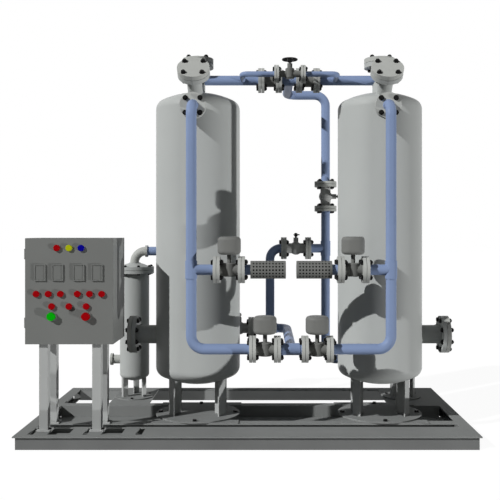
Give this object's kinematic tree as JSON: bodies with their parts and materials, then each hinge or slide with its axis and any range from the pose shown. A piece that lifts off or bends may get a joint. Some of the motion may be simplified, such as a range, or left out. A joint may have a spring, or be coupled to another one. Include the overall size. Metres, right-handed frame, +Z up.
{
  "type": "desiccant air dryer",
  "caption": "Twin-tower desiccant air dryer on a steel skid: packed vessels with valve manifolds, exhaust mufflers, filters and a control cabinet.",
  "frame": {"origin": "under the middle of the skid, at floor level", "axes": "+X to the right seen from the control cabinet's door, +Y to the back, +Z up"},
  "size_m": [2.614, 1.336, 2.3034],
  "materials": {
    "skid_paint": "satin grey paint",
    "vessel_paint": "satin light grey paint",
    "flange_steel": "satin light grey paint",
    "desiccant": "white beads",
    "stainless": "machined",
    "pipe_paint": "satin blue-grey paint",
    "valve_paint": "satin dark grey paint",
    "black_steel": "black oxide",
    "element_media": "pleated media",
    "cabinet_paint": "satin grey powder coat",
    "meter_glass": "smoked window",
    "red_lens": "gloss",
    "yellow_lens": "gloss",
    "blue_lens": "gloss",
    "green_lens": "gloss",
    "gasket": "fibre sheet"
  },
  "bodies": {
    "skid": {"long_rails": "skid_paint", "end_rails": "skid_paint", "inner_rails": "skid_paint", "deck_plates": "skid_paint", "left_vessel": "vessel_paint", "right_vessel": "vessel_paint", "left_stand": "skid_paint", "right_stand": "skid_paint", "port_covers": "flange_steel", "desiccant_beds": "desiccant", "bed_screens": "stainless", "left_riser": "pipe_paint", "right_riser": "pipe_paint", "left_muffler": "valve_paint", "right_muffler": "valve_paint", "inlet_header": "pipe_paint", "inlet_pipe": "pipe_paint", "outlet_header": "pipe_paint", "outlet_pipe": "pipe_paint", "left_top_pipe": "pipe_paint", "right_top_pipe": "pipe_paint", "left_inlet_valve": "valve_paint", "right_inlet_valve": "valve_paint", "left_exhaust_valve": "valve_paint", "right_exhaust_valve": "valve_paint", "actuators": "valve_paint", "left_check_valve": "valve_paint", "right_check_valve": "valve_paint", "purge_valve": "valve_paint", "feed_valve": "valve_paint", "bypass_valve": "valve_paint", "outlet_valve": "valve_paint", "pre_filter_bowl": "vessel_paint", "after_filter_bowl": "vessel_paint", "filter_heads": "vessel_paint", "filter_elements": "element_media", "inlet_nozzle": "flange_steel", "outlet_nozzle": "pipe_paint", "cabinet": "cabinet_paint", "panel_stand": "cabinet_paint", "flange_bolts": "black_steel", "base_bolts": "black_steel", "gaskets": "gasket"},
    "door": {"door": "cabinet_paint", "meter_windows": "meter_glass", "red_lamps": "red_lens", "yellow_lamp": "yellow_lens", "blue_lamp": "blue_lens"},
    "left_inlet_stem": {"left_inlet_stem": "stainless"},
    "right_inlet_stem": {"right_inlet_stem": "stainless"},
    "left_exhaust_stem": {"left_exhaust_stem": "stainless"},
    "right_exhaust_stem": {"right_exhaust_stem": "stainless"},
    "left_check_disc": {"left_check_disc": "stainless"},
    "right_check_disc": {"right_check_disc": "stainless"},
    "purge_wheel": {"purge_wheel": "black_steel"},
    "feed_lever": {"feed_lever": "black_steel"},
    "bypass_lever": {"bypass_lever": "black_steel"},
    "outlet_lever": {"outlet_lever": "black_steel"},
    "start_button": {"start_button": "green_lens"},
    "stop_button": {"stop_button": "red_lens"}
  },
  "joints": [
    {"name": "left_inlet_stem_lift", "type": "slide", "parent": "skid", "child": "left_inlet_stem", "axis": [0, 0, 1], "range_m": [0, 0.018]},
    {"name": "right_inlet_stem_lift", "type": "slide", "parent": "skid", "child": "right_inlet_stem", "axis": [0, 0, 1], "range_m": [0, 0.018]},
    {"name": "left_exhaust_stem_lift", "type": "slide", "parent": "skid", "child": "left_exhaust_stem", "axis": [0, 0, 1], "range_m": [0, 0.018]},
    {"name": "right_exhaust_stem_lift", "type": "slide", "parent": "skid", "child": "right_exhaust_stem", "axis": [0, 0, 1], "range_m": [0, 0.018]},
    {"name": "left_check_open", "type": "slide", "parent": "skid", "child": "left_check_disc", "axis": [1, 0, 0], "range_m": [0, 0.01], "stiffness_N_per_m": 300},
    {"name": "right_check_open", "type": "slide", "parent": "skid", "child": "right_check_disc", "axis": [-1, 0, 0], "range_m": [0, 0.01], "stiffness_N_per_m": 300},
    {"name": "purge_wheel_turn", "type": "hinge", "parent": "skid", "child": "purge_wheel", "pos_m": [0.2465, -0.333, 2.16], "axis": [0, 0, 1], "range_deg": [0, 720]},
    {"name": "feed_lever_turn", "type": "hinge", "parent": "skid", "child": "feed_lever", "pos_m": [-0.083, 0.375, 0.55], "axis": [0, 0, -1], "range_deg": [0, 90]},
    {"name": "bypass_lever_turn", "type": "hinge", "parent": "skid", "child": "bypass_lever", "pos_m": [0.31, 0.375, 1.102], "axis": [0, 0, -1], "range_deg": [0, 90]},
    {"name": "outlet_lever_turn", "type": "hinge", "parent": "skid", "child": "outlet_lever", "pos_m": [0.515, 0.375, 1.46], "axis": [-1, 0, 0], "range_deg": [0, 90]},
    {"name": "door_swing", "type": "hinge", "parent": "skid", "child": "door", "pos_m": [-1.271, -0.5483, 0.877], "axis": [0, 0, -1], "range_deg": [0, 110]},
    {"name": "start_button_press", "type": "slide", "parent": "door", "child": "start_button", "axis": [0, 1, 0], "range_m": [0, 0.005], "stiffness_N_per_m": 400},
    {"name": "stop_button_press", "type": "slide", "parent": "door", "child": "stop_button", "axis": [0, 1, 0], "range_m": [0, 0.005], "stiffness_N_per_m": 400}
  ]
}
